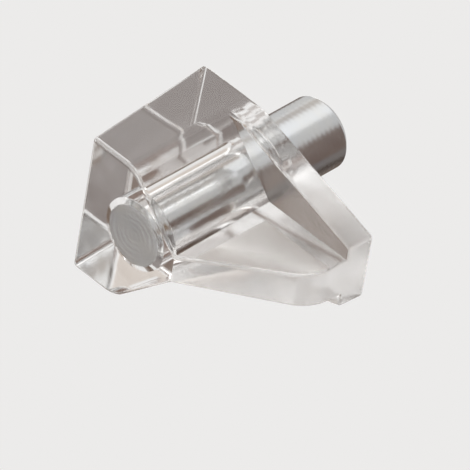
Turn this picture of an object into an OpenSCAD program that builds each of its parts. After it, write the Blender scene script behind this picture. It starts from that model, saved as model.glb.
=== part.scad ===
/* [Seat] */
// Width of the seat at its front edge
seat_w = 10.6; // [9:0.1:12]
// Depth from the back of the wall plate to the front face
seat_depth = 10.3; // [8:0.1:12]
// Height of the seat above the axis of the pin, at its front edge
seat_height = 4.2; // [3.6:0.1:6]
// Rounding of the two upright corners at the front
corner_r = 0.3; // [0.2:0.1:1]

/* [Keel] */
// Distance from the axis of the pin to each slope of the keel, at the front
keel_half = 3.4; // [3:0.1:3.8]
// Rounding between an upright side and the slope below it
turn_r = 1.8; // [0.5:0.1:3]

/* [Wall plate] */
// Thickness of the plate that lies against the wall
plate_t = 2.1; // [1.8:0.1:3]
// Depth of the foot below the axis of the pin, at the wall
foot_drop = 10.9; // [9:0.1:13]
// Width of the foot at the wall
foot_w = 4.9; // [4:0.1:6]
// Width of the plate at the wall where it starts to narrow
waist_w = 11.3; // [10:0.1:12]
// Depth below the axis of the pin at which it starts to narrow
waist_drop = 1.1; // [0.5:0.1:2]

/* [Gusset] */
// Thickness of the gusset at its front edge
gusset_t = 2.1; // [1.5:0.1:3]
// Slope of its long edge from the horizontal
gusset_angle = 51.2; // [46:0.1:56]
// Rounding at the lower end of the long edge
heel_r = 2.8; // [0.5:0.1:3]

/* [Mould] */
// Angle by which every face leans outwards towards the wall
draft = 2.8; // [0:0.1:4]

/* [Pin] */
// Diameter of the steel pin
pin_d = 5; // [4:0.1:5.2]
// Length of the pin that stands out from the wall plate
pin_reach = 6.9; // [5:0.1:9]
// Thickness of the plastic that closes the front end of the bore
front_skin = 0.7; // [0.5:0.1:2]
// Chamfer at both ends of the pin
pin_chamfer = 0.4; // [0.2:0.1:0.6]
// Width of the groove by which the plastic grips the pin
groove_w = 0.7; // [0.6:0.1:1]
// Distance from the back of the plate to the groove
groove_inset = 0.1; // [0.1:0.01:0.15]
// Depth of the groove
groove_depth = 0.2; // [0.1:0.1:0.4]
// Gap left all round the held end of the pin
play = 0.02; // [0.01:0.01:0.05]

/* [Hidden] */
smooth = 64;
far = 40;
keel_angle = 45;
// Depth below the axis at which the slopes of the keel run into the gusset
keel_drop = keel_half * sqrt(2) - gusset_t / 2;

module bracket() {
    color([0.80, 0.78, 0.76, 0.35])
    difference() {
        intersection() {
            union() {
                keel();
                wall_plate();
                gusset();
            }
            inside(90, seat_height, -seat_depth);
            front_corners();
        }
        pin_bore();
    }
}

// Everything on the near side of a drafted plane. The plane faces the given angle round
// the axis of the pin, and lies at the given distance from that axis where y is as given
module inside(angle, distance, y) {
    rotate([0, -angle, 0])
        translate([distance, y, 0])
            rotate([0, 0, -draft])
                translate([-far, -far / 2, -far / 2])
                    cube(far);
}

// Block under the seat: upright sides that turn into a V under the pin
module keel() {
    intersection() {
        flank();
        mirror([1, 0, 0]) flank();
        inside(-90, keel_drop, -seat_depth);
    }
}

// One upright side, the slope below it and the round turn between them
module flank() {
    lean = draft * (1 - sin(keel_angle)) / cos(keel_angle);
    translate([0, -seat_depth, 0])
        rotate([90 - lean, 0, -draft])
            translate([0, 0, -far * 0.75])
                linear_extrude(height = far)
                    flank_section();
}

module flank_section() {
    w = seat_w / 2;
    n = [sin(keel_angle), -cos(keel_angle)];
    c = [w - turn_r, ((w - turn_r) * n[0] - (keel_half - turn_r)) / -n[1]];
    slope_start = c + turn_r * n;
    slope_end = slope_start - far * [-n[1], n[0]];
    polygon([[-far, far], [w, far], [w, c[1]], slope_start, slope_end, [-far, slope_end[1]]]);
    translate(c)
        circle(r = turn_r, $fn = smooth);
}

// Seen from above: the front face, its two rounded corners and the back of the wall plate
module front_corners() {
    w = seat_w / 2;
    c = [w + corner_r * tan(draft) - corner_r / cos(draft), corner_r - seat_depth];
    side = c + corner_r * [cos(draft), -sin(draft)];
    translate([0, 0, -far / 2])
        linear_extrude(height = far) {
            polygon([[-c[0], -seat_depth], [c[0], -seat_depth], side, [far / 2, 0],
                     [-far / 2, 0], [-side[0], side[1]]]);
            for (s = [-1, 1])
                translate([s * c[0], c[1]])
                    circle(r = corner_r, $fn = smooth);
        }
}

// Plate against the wall, which narrows to the foot
module wall_plate() {
    lean = atan((waist_w - foot_w) / 2 / (foot_drop - waist_drop));
    reach = cos(lean) * foot_w / 2 + sin(lean) * foot_drop;
    intersection() {
        translate([-far / 2, -plate_t, -far / 2])
            cube([far, plate_t + 1, far]);
        inside(0, seat_w / 2, -seat_depth);
        inside(180, seat_w / 2, -seat_depth);
        inside(-lean, reach, 0);
        inside(180 + lean, reach, 0);
        inside(-90, foot_drop, 0);
    }
}

// Upright web in the middle, under the keel
module gusset() {
    intersection() {
        rotate([90, 0, 90])
            translate([0, 0, -far / 2])
                linear_extrude(height = far)
                    gusset_outline();
        inside(0, gusset_t / 2, -seat_depth);
        inside(180, gusset_t / 2, -seat_depth);
    }
}

// Side view of the gusset, with y to the right and z up
module gusset_outline() {
    nose = [-seat_depth, -keel_drop];
    // outward normals of the long edge and of the foot
    e = [-sin(gusset_angle), -cos(gusset_angle)];
    f = [sin(-draft), -cos(draft)];
    foot = [0, -foot_drop];
    // centre of the rounded heel, at heel_r inside both edges
    a = nose * e - heel_r;
    b = foot * f - heel_r;
    det = e[0] * f[1] - e[1] * f[0];
    c = [(a * f[1] - b * e[1]) / det, (e[0] * b - f[0] * a) / det];
    polygon([[-seat_depth, 0], nose, c + heel_r * e, c + heel_r * f, foot, [0, 0]]);
    translate(c)
        circle(r = heel_r, $fn = smooth);
}

// Half outline of the held end of the pin, from the axis to its groove, grown by the gap
function held_end(gap) = let (r = pin_d / 2 + gap, front = seat_depth - front_skin - play + gap)
    [[0, -front], [r - pin_chamfer, -front], [r, pin_chamfer - front],
     [r, gap - groove_w - groove_inset], [r - groove_depth, gap - groove_w - groove_inset]];

// Solid turned about the axis of the pin
module turned(outline) {
    rotate([-90, 0, 0])
        rotate_extrude($fn = smooth)
            polygon(outline);
}

// Blind bore with a ridge that fills the groove of the pin
module pin_bore() {
    r = pin_d / 2 + play;
    ridge_end = -groove_inset - play;
    turned(concat(held_end(play), [[r - groove_depth, ridge_end], [r, ridge_end],
                                   [r, plate_t], [0, plate_t]]));
}

module steel_pin() {
    r = pin_d / 2;
    color([0.72, 0.73, 0.75])
        turned(concat(held_end(0), [[r - groove_depth, -groove_inset], [r, -groove_inset],
                                    [r, pin_reach - pin_chamfer], [r - pin_chamfer, pin_reach],
                                    [0, pin_reach]]));
}

bracket();
steel_pin();
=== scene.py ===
"""A clear moulded shelf support with a steel pin: edges, materials, studio and camera."""

import math

import bmesh
import bpy
from mathutils import Matrix, Vector


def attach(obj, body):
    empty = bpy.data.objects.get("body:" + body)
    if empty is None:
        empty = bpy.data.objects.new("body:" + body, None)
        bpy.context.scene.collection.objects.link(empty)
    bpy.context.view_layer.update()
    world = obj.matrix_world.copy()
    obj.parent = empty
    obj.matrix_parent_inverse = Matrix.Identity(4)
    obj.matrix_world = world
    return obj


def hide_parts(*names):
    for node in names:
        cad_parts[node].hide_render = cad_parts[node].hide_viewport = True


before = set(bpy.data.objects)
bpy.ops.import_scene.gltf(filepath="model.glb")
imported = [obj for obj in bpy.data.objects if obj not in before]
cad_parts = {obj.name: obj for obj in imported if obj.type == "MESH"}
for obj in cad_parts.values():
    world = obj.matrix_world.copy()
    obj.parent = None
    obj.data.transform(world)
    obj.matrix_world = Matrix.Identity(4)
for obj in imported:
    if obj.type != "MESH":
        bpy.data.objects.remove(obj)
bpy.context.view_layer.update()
MM = 0.001

# Sizes of the moulding and its bore in mm, as the frame has them. A drop is a depth below the pin's axis,
# and a half is half a width.

SEAT_DEPTH = 10.3
SEAT_HALF = 5.3
SEAT_HEIGHT = 4.2
KEEL_HALF = 3.4
KEEL_DROP = 3.758
TURN = math.radians(45)
TURN_R = 1.8
PLATE = 2.1
FOOT_DROP = 10.9
FOOT_HALF = 2.45
WAIST_HALF = 5.65
WAIST_DROP = 1.1
WEB_HALF = 1.05
WEB_ANGLE = math.radians(51.2)
HEEL_R = 2.8
DRAFT = math.radians(2.8)
PIN_R = 2.5
GAP = 0.02
SKIN = 0.7
CHAMFER = 0.4
GROOVE = 0.7
GROOVE_DEPTH = 0.2
GROOVE_INSET = 0.1

# Roundings in mm that the frame lacks: CORNER_R is for the moulding's edges at the wall and above the pin's
# axis, and EDGE_R for its other edges.

CORNER_R = 0.3
EDGE_R = 0.2
PIN_EDGE_R = 0.06

# The moulding is joined from three blocks, each cut from a cube. A side that would lie in one plane with
# another block's is tucked in by TUCK. The plate's block ends inside the keel at PLATE_TOP.

CUBE = 60
TUCK = 0.015
PLATE_TOP = 2

# Mesh tools


def round_edges(bm, edges, width, segments):
    bmesh.ops.bevel(bm, geom=edges, affect="EDGES", offset=width, offset_type="OFFSET",
                    segments=segments, profile=0.5, material=-1, clamp_overlap=False)


def corner_edges(bm, low, high, test=lambda edge: True):
    """The edges whose faces meet at an angle in that range, in degrees."""
    return [e for e in bm.edges if e.is_manifold and test(e)
            and low < math.degrees(e.calc_face_angle()) < high]


def to_object(bm, name):
    mesh = bpy.data.meshes.new(name)
    bm.to_mesh(mesh)
    bm.free()
    piece = bpy.data.objects.new(name, mesh)
    bpy.context.scene.collection.objects.link(piece)
    return piece


def to_solid(bm, name):
    bmesh.ops.recalc_face_normals(bm, faces=bm.faces)
    return to_object(bm, name)


def apply_modifier(piece):
    piece.data = bpy.data.meshes.new_from_object(
        piece.evaluated_get(bpy.context.evaluated_depsgraph_get()))
    piece.modifiers.clear()


def merge_flat(bm, distance):
    """Merges points that are that close, drops slivers and joins the faces that lie in one plane."""
    bmesh.ops.remove_doubles(bm, verts=bm.verts, dist=distance)
    bmesh.ops.dissolve_degenerate(bm, edges=bm.edges, dist=distance / 4)
    bmesh.ops.dissolve_limit(bm, angle_limit=math.radians(0.3), verts=bm.verts, edges=bm.edges)


def sort_mesh(bm):
    """Puts the mesh in order of place, because a boolean leaves it in a new order each run."""
    def by_corners(element):
        return sorted(v.index for v in element.verts)

    for elements, key in ((bm.verts, lambda v: v.co[:]), (bm.edges, by_corners), (bm.faces, by_corners)):
        rank = {element: place for place, element in enumerate(sorted(elements, key=key))}
        elements.sort(key=rank.get)
        elements.index_update()


def combine(piece, other, operation):
    """Joins the other solid to the piece, or cuts it out, and leaves one clean mesh."""
    boolean = piece.modifiers.new("boolean", "BOOLEAN")
    boolean.operation = operation
    boolean.solver = "EXACT"
    boolean.object = other
    apply_modifier(piece)
    bpy.data.objects.remove(other)
    bm = bmesh.new()
    bm.from_mesh(piece.data)
    sort_mesh(bm)
    merge_flat(bm, distance=0.002)
    bm.to_mesh(piece.data)
    bm.free()


def keep_flat(piece, smallest):
    """Shades each plane of at least that many square mm as truly flat.

    Only the roundings then look round."""
    weighted = piece.modifiers.new("weighted", "WEIGHTED_NORMAL")
    weighted.keep_sharp = True
    apply_modifier(piece)
    mesh = piece.data
    normals = [corner.vector.copy() for corner in mesh.corner_normals]
    planes = [face.normal.copy() for face in mesh.polygons if face.area >= smallest * MM * MM]
    flat = [any(face.normal.dot(plane) > math.cos(math.radians(0.5)) for plane in planes)
            for face in mesh.polygons]
    sharp = {tuple(sorted(edge.vertices)) for edge in mesh.edges if edge.use_edge_sharp}
    beside = {}
    for face in mesh.polygons:
        for key in face.edge_keys:
            beside.setdefault(key, []).append(face)
    for face in mesh.polygons:
        for corner in face.loop_indices:
            point = mesh.loops[corner].vertex_index
            near = [other.normal for key in face.edge_keys if point in key and key not in sharp
                    for other in beside[key] if flat[other.index]]
            if flat[face.index]:
                normals[corner] = face.normal
            elif near:
                normals[corner] = sum(near, Vector()).normalized()
    mesh.normals_split_custom_set(normals)


# The moulding, made in mm

WALL = (Vector((0, 0, 0)), Vector((0, 1, 0)))


def facing_front(y):
    """A plane that faces the front at that depth."""
    return Vector((0, y, 0)), Vector((0, -1, 0))


def facing_up(z):
    return Vector((0, 0, z)), Vector((0, 0, 1))


def drafted(angle, distance, y):
    """A plane that leans with the draft. It faces the angle round the pin's axis, at a distance from it."""
    facing = Vector((math.cos(math.radians(angle)), 0, math.sin(math.radians(angle))))
    return facing * distance + Vector((0, y, 0)), facing * math.cos(DRAFT) - Vector((0, math.sin(DRAFT), 0))


def cut_block(*planes):
    """A block with everything cut away that lies outside the planes."""
    bm = bmesh.new()
    bmesh.ops.create_cube(bm, size=CUBE)
    for point, normal in planes:
        bmesh.ops.bisect_plane(bm, geom=bm.verts[:] + bm.edges[:] + bm.faces[:], dist=1e-5,
                               plane_co=point, plane_no=normal, clear_outer=True)
        bmesh.ops.holes_fill(bm, edges=[e for e in bm.edges if e.is_boundary], sides=0)
    return bm


def make_keel():
    """The body round the pin: the seat, the upright sides and the two slopes, with a round turn between."""
    keel = cut_block(facing_front(-SEAT_DEPTH), WALL, drafted(90, SEAT_HEIGHT, -SEAT_DEPTH),
                     *[drafted(a, SEAT_HALF, -SEAT_DEPTH) for a in (0, 180)],
                     drafted(-90, KEEL_DROP, -SEAT_DEPTH),
                     *[drafted(a, KEEL_HALF, -SEAT_DEPTH) for a in (-45, -135)])
    turns = corner_edges(keel, 40, 50, lambda e: abs(e.verts[0].co.x) > SEAT_HALF - 1
                         and abs(e.verts[0].co.y - e.verts[1].co.y) > SEAT_DEPTH / 2)
    round_edges(keel, turns, TURN_R * math.tan(TURN / 2), segments=10)
    return keel


def make_plate():
    """The wall plate, whose sides lean in from the waist to the foot."""
    lean = math.degrees(math.atan2(WAIST_HALF - FOOT_HALF, FOOT_DROP - WAIST_DROP))
    reach = math.cos(math.radians(lean)) * FOOT_HALF + math.sin(math.radians(lean)) * FOOT_DROP
    return cut_block(facing_front(-PLATE), WALL, drafted(-90, FOOT_DROP, 0), facing_up(PLATE_TOP),
                     *[drafted(a, SEAT_HALF - TUCK, -SEAT_DEPTH) for a in (0, 180)],
                     *[drafted(a, reach, 0) for a in (-lean, 180 + lean)])


def make_web():
    """The gusset under the keel, with a round heel above the foot."""
    slope = Vector((0, -math.sin(WEB_ANGLE), -math.cos(WEB_ANGLE)))
    web = cut_block((Vector((0, -PLATE / 2, 0)), Vector((0, 1, 0))), facing_front(TUCK - SEAT_DEPTH),
                    drafted(-90, FOOT_DROP - TUCK, 0), facing_up(0),
                    (Vector((0, -SEAT_DEPTH, -KEEL_DROP)), slope),
                    *[drafted(a, WEB_HALF, -SEAT_DEPTH) for a in (0, 180)])
    heel = corner_edges(web, 20, 60, lambda e: abs(e.verts[0].co.x - e.verts[1].co.x) > WEB_HALF
                        and e.verts[0].co.z < 2 - FOOT_DROP)
    round_edges(web, heel, HEEL_R * math.tan(heel[0].calc_face_angle() / 2), segments=10)
    return web


def make_bore():
    """The blind bore with the ridge that fills the pin's groove."""
    r = PIN_R + GAP
    bottom = SKIN - SEAT_DEPTH
    groove = -GROOVE - GROOVE_INSET + GAP
    ridge = -GROOVE_INSET - GAP
    outline = [(0, bottom), (r - CHAMFER, bottom), (r, bottom + CHAMFER), (r, groove),
               (r - GROOVE_DEPTH, groove), (r - GROOVE_DEPTH, ridge), (r, ridge), (r, 1), (0, 1)]
    bm = bmesh.new()
    points = [bm.verts.new((x, y, 0)) for x, y in outline]
    edges = [bm.edges.new(pair) for pair in zip(points, points[1:])]
    bmesh.ops.spin(bm, geom=points + edges, cent=(0, 0, 0), axis=(0, 1, 0),
                   angle=math.tau, steps=96, use_merge=True)
    bmesh.ops.remove_doubles(bm, verts=bm.verts, dist=1e-5)
    return to_solid(bm, "bore")


def mould_radius(edge):
    """The rounding that the mould leaves on an edge, in mm."""
    ends = [v.co for v in edge.verts]
    at_wall = all(p.y > -0.01 for p in ends)
    above = all(p.z > -0.1 for p in ends)
    return CORNER_R if at_wall or above else EDGE_R


def rounded(bm, name):
    """Makes an object of the block and rounds its edges, each by its own radius."""
    layer = bm.edges.layers.float.new("bevel_weight_edge")
    for edge in corner_edges(bm, 60, 180):
        edge[layer] = mould_radius(edge) / CORNER_R
    piece = to_solid(bm, name)
    bevel = piece.modifiers.new("rounded", "BEVEL")
    bevel.limit_method = "WEIGHT"
    bevel.offset_type = "OFFSET"
    bevel.width = CORNER_R
    bevel.segments = 4
    bevel.use_clamp_overlap = False
    apply_modifier(piece)
    return piece


def make_moulding():
    body = rounded(make_keel(), "moulded_bracket")
    combine(body, rounded(make_plate(), "plate"), "UNION")
    combine(body, rounded(make_web(), "web"), "UNION")
    combine(body, make_bore(), "DIFFERENCE")
    for face in body.data.polygons:
        face.use_smooth = True
    body.data.set_sharp_from_angle(angle=math.radians(40))
    body.data.transform(Matrix.Scale(MM, 4))
    keep_flat(body, smallest=2)
    return body


# The pin


def make_pin():
    """A merged copy of the CAD pin with its edges just broken."""
    bm = bmesh.new()
    bm.from_mesh(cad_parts["steel_pin"].data)
    merge_flat(bm, distance=0.0005 * MM)
    round_edges(bm, corner_edges(bm, 20, 180), PIN_EDGE_R * MM, segments=3)
    for face in bm.faces:
        face.smooth = True
    piece = to_object(bm, "turned_pin")
    keep_flat(piece, smallest=5)
    return piece


# Material tools


def linear(code):
    """The linear colour of an sRGB hex code."""
    values = [int(code[i:i + 2], 16) / 255 for i in (1, 3, 5)]
    return [v / 12.92 if v <= 0.04045 else ((v + 0.055) / 1.055) ** 2.4 for v in values] + [1]


def new_material(name):
    material = bpy.data.materials.new(name)
    material.use_nodes = True
    material.node_tree.nodes.clear()
    return material, material.node_tree


def add(tree, kind, inputs, **settings):
    """Adds one node. Its settings are set, and each input takes a value or another node's output."""
    node = tree.nodes.new(kind)
    for name, value in settings.items():
        setattr(node, name, value)
    for name, value in inputs.items():
        if isinstance(value, bpy.types.NodeSocket):
            tree.links.new(value, node.inputs[name])
        else:
            node.inputs[name].default_value = value
    return node


def noise(tree, place, size, detail):
    """A noise pattern whose spots are about that many mm wide."""
    return add(tree, "ShaderNodeTexNoise",
               {"Vector": place, "Scale": 1 / (size * MM), "Detail": detail}).outputs[0]


def remap(tree, value, low, high, new_low, new_high, **settings):
    return add(tree, "ShaderNodeMapRange",
               {0: value, 1: low, 2: high, 3: new_low, 4: new_high}, **settings).outputs[0]


def tint(tree, amount, first, second):
    """A colour that goes from the first to the second by the amount."""
    return add(tree, "ShaderNodeMix", {0: amount, 6: linear(first), 7: linear(second)},
               data_type="RGBA").outputs[2]


def bump(tree, height, depth, **below):
    """A bump of that depth in mm. Below can be the Normal of another bump."""
    return add(tree, "ShaderNodeBump",
               {"Height": height, "Strength": 1.0, "Distance": depth * MM, **below}).outputs[0]


def surface(tree, inputs):
    shader = add(tree, "ShaderNodeBsdfPrincipled", inputs)
    add(tree, "ShaderNodeOutputMaterial", {"Surface": shader.outputs[0]})


# Materials. Their roughness stays under 0.27: the render's noise filter draws a thin line where a
# roughness passes a limit just above that.


def clear_polycarbonate():
    """Clear polycarbonate from a polished mould.

    It looks like clean glass, but the flow of the melt leaves faint waves 2.5 mm long that bend what is
    seen through it, and the mould is matt from 3 mm below the pin's axis down, so that the foot looks
    frosted. The matt grain is 0.1 mm, drawn 0.3 mm wide so that it shows."""
    material, tree = new_material("polycarbonate_clear_moulded")
    place = add(tree, "ShaderNodeTexCoord", {}).outputs["Object"]
    height = add(tree, "ShaderNodeSeparateXYZ", {0: place}).outputs["Z"]
    matt = remap(tree, height, -6 * MM, -3 * MM, 1.0, 0.0, interpolation_type="SMOOTHSTEP")
    waves = noise(tree, place, 2.5, 1.0)
    grain = noise(tree, place, 0.3, 2.0)
    sheen = remap(tree, matt, 0.0, 1.0, 0.08, 0.25)
    patches = remap(tree, waves, 0.3, 0.7, -0.02, 0.02)
    rough = add(tree, "ShaderNodeMath", {0: sheen, 1: patches}, operation="ADD").outputs[0]
    frost = add(tree, "ShaderNodeMath", {0: grain, 1: matt}, operation="MULTIPLY").outputs[0]
    flow = bump(tree, waves, 0.015)
    surface(tree, {"Base Color": tint(tree, waves, "#FFFFFF", "#FBFAF8"), "IOR": 1.5,
                   "Transmission Weight": 1.0, "Roughness": rough,
                   "Normal": bump(tree, frost, 0.006, Normal=flow)})
    return material


def zinc_plated_steel():
    """Turned mild steel with bright zinc plating.

    It looks like pale grey metal with a soft gloss, its plating turns faintly from blue to yellow, and the
    lathe leaves rings 0.1 mm apart, drawn 0.4 mm apart so that they show. They follow the tool along the
    side and over each end."""
    material, tree = new_material("steel_zinc_plated")
    place = add(tree, "ShaderNodeTexCoord", {}).outputs["Object"]
    axes = add(tree, "ShaderNodeSeparateXYZ", {0: place}).outputs
    across = add(tree, "ShaderNodeCombineXYZ", {0: axes["X"], 2: axes["Z"]}).outputs[0]
    radius = add(tree, "ShaderNodeVectorMath", {0: across}, operation="LENGTH").outputs["Value"]
    travel = add(tree, "ShaderNodeMath", {0: axes["Y"], 1: radius}, operation="ADD").outputs[0]
    path = add(tree, "ShaderNodeCombineXYZ", {1: travel}).outputs[0]
    rings = add(tree, "ShaderNodeTexWave", {"Vector": path, "Scale": math.tau / 20 / (0.4 * MM),
                                            "Distortion": 1.5, "Detail": 1.0, "Detail Scale": 0.5},
                bands_direction="Y").outputs["Fac"]
    cloud = noise(tree, place, 1.8, 4.0)
    surface(tree, {"Base Color": tint(tree, cloud, "#C2C7CE", "#CFCDC8"), "Metallic": 1.0,
                   "Roughness": remap(tree, cloud, 0.3, 0.7, 0.21, 0.26),
                   "Normal": bump(tree, rings, 0.002)})
    return material


# The pieces


def finish_piece(piece, node, material):
    """Puts the piece in the place of its CAD node, in its material."""
    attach(piece, "root")
    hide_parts(node)
    piece.data.materials.clear()
    piece.data.materials.append(material)


finish_piece(make_moulding(), "bracket", clear_polycarbonate())
finish_piece(make_pin(), "steel_pin", zinc_plated_steel())

# Camera, in mm

CAMERA_PLACE = Vector((446, -414, -329.5))
CAMERA_AIM = Vector((-3.0, -2.0, -1.6))
CAMERA_ROLL = math.radians(-52.85)
CAMERA_LENS = 848


def make_camera():
    data = bpy.data.cameras.new("camera")
    data.sensor_width = 36
    data.lens = CAMERA_LENS
    data.clip_start = 0.01
    camera = bpy.data.objects.new("camera", data)
    camera.matrix_world = (Matrix.Translation(CAMERA_PLACE * MM)
                           @ (CAMERA_PLACE - CAMERA_AIM).to_track_quat("Z", "Y").to_matrix().to_4x4()
                           @ Matrix.Rotation(CAMERA_ROLL, 4, "Z"))
    bpy.context.scene.collection.objects.link(camera)
    bpy.context.scene.camera = camera


make_camera()

# Studio, in metres. The first card stands at CARD_FAR, and each later one nearer by CARD_STEP.

BACKDROP = "#ECEBEA"
FLOOR_WIDTH = 12
FLOOR_DROP = 1
CARD_FAR = 0.42
CARD_STEP = 0.01
BOUNCES = 24
cards = []


def stand(name, width, height):
    """A flat sheet for the floor and the cards, with its centre at the origin."""
    bm = bmesh.new()
    bmesh.ops.create_grid(bm, x_segments=1, y_segments=1, size=0.5)
    bmesh.ops.scale(bm, vec=(width, height, 1), verts=bm.verts)
    sheet = to_solid(bm, name)
    return sheet


def card(name, azimuth, elevation, across, up, colour, strength=1.0):
    """A glowing card that faces the part and covers so many degrees to each side of its middle.

    Only the metal and the clear plastic show it."""
    far = CARD_FAR - CARD_STEP * len(cards)
    sheet = stand("card_" + name, 2 * far * math.tan(math.radians(across)),
                  2 * far * math.tan(math.radians(up)))
    turn, tilt = math.radians(azimuth), math.radians(elevation)
    spot = Vector((math.sin(turn) * math.cos(tilt), -math.cos(turn) * math.cos(tilt), math.sin(tilt)))
    sheet.matrix_world = (Matrix.Translation(spot * far)
                          @ spot.to_track_quat("Z", "Y").to_matrix().to_4x4())
    sheet.visible_camera = False
    sheet.visible_diffuse = False
    sheet.visible_shadow = False
    paint, tree = new_material("card_" + name)
    glow = add(tree, "ShaderNodeEmission", {"Color": linear(colour), "Strength": strength})
    add(tree, "ShaderNodeOutputMaterial", {"Surface": glow.outputs[0]})
    sheet.data.materials.append(paint)
    cards.append(sheet)


card("grey_low", 270, -50, 50, 33, "#877F7C")
card("brown_behind", 260, 30, 45, 34, "#6E5C50")
card("grey_below", 145, -72, 50, 36, "#7B665C")
card("softbox_back", 125, 25, 20, 30, "#FFFFFF", 1.4)
card("beige_back", 155, 34, 22, 12, "#D6CDC5")
card("softbox_below", 190, -78, 45, 12, "#FFFDF9", 2.1)
card("flag_front", 16, 0, 9, 50, "#947453")
card("flag_wedge", 231, -18, 4, 14, "#4A3A30")
card("spot_back", 195, 36, 6, 5, "#FFFFFF", 3.0)
card("grey_back", 213, 16, 11, 18, "#C7C3C0")
card("grey_side", 28, 42, 14, 12, "#BDB7B3")
card("softbox_side", 50, 42, 5, 5, "#FFFFFF", 2.0)
card("softbox_right", 58, 4, 8, 8, "#FFFFFF", 2.0)


def make_world():
    """White light from all round. The camera, the metal and the clear plastic see the backdrop instead."""
    world = bpy.data.worlds.new("studio")
    bpy.context.scene.world = world
    world.use_nodes = True
    tree = world.node_tree
    tree.nodes.clear()
    ray = add(tree, "ShaderNodeLightPath", {}).outputs
    seen = add(tree, "ShaderNodeMath", {0: ray["Is Camera Ray"], 1: ray["Is Glossy Ray"]},
               operation="MAXIMUM").outputs[0]
    seen = add(tree, "ShaderNodeMath", {0: seen, 1: ray["Is Transmission Ray"]},
               operation="MAXIMUM").outputs[0]
    light = add(tree, "ShaderNodeBackground", {"Color": linear("#FFFFFF"), "Strength": 1.0}).outputs[0]
    shown = add(tree, "ShaderNodeBackground", {"Color": linear(BACKDROP), "Strength": 1.0}).outputs[0]
    both = add(tree, "ShaderNodeMixShader", {0: seen, 1: light, 2: shown}).outputs[0]
    add(tree, "ShaderNodeOutputWorld", {"Surface": both})


def make_floor():
    floor = stand("floor", FLOOR_WIDTH, FLOOR_WIDTH)
    floor.location = (0, 0, -FLOOR_DROP)
    paper, tree = new_material("floor_paper")
    shader = add(tree, "ShaderNodeBsdfDiffuse", {"Color": linear(BACKDROP), "Roughness": 0.5})
    add(tree, "ShaderNodeOutputMaterial", {"Surface": shader.outputs[0]})
    floor.data.materials.append(paper)


make_world()
make_floor()

# Light is thrown to and fro inside the clear plastic, so it is followed for longer, and kept sharp

cycles = bpy.context.scene.cycles
cycles.max_bounces = BOUNCES
cycles.glossy_bounces = BOUNCES
cycles.transmission_bounces = BOUNCES
cycles.blur_glossy = 0
bpy.context.scene.view_settings.view_transform = "Standard"
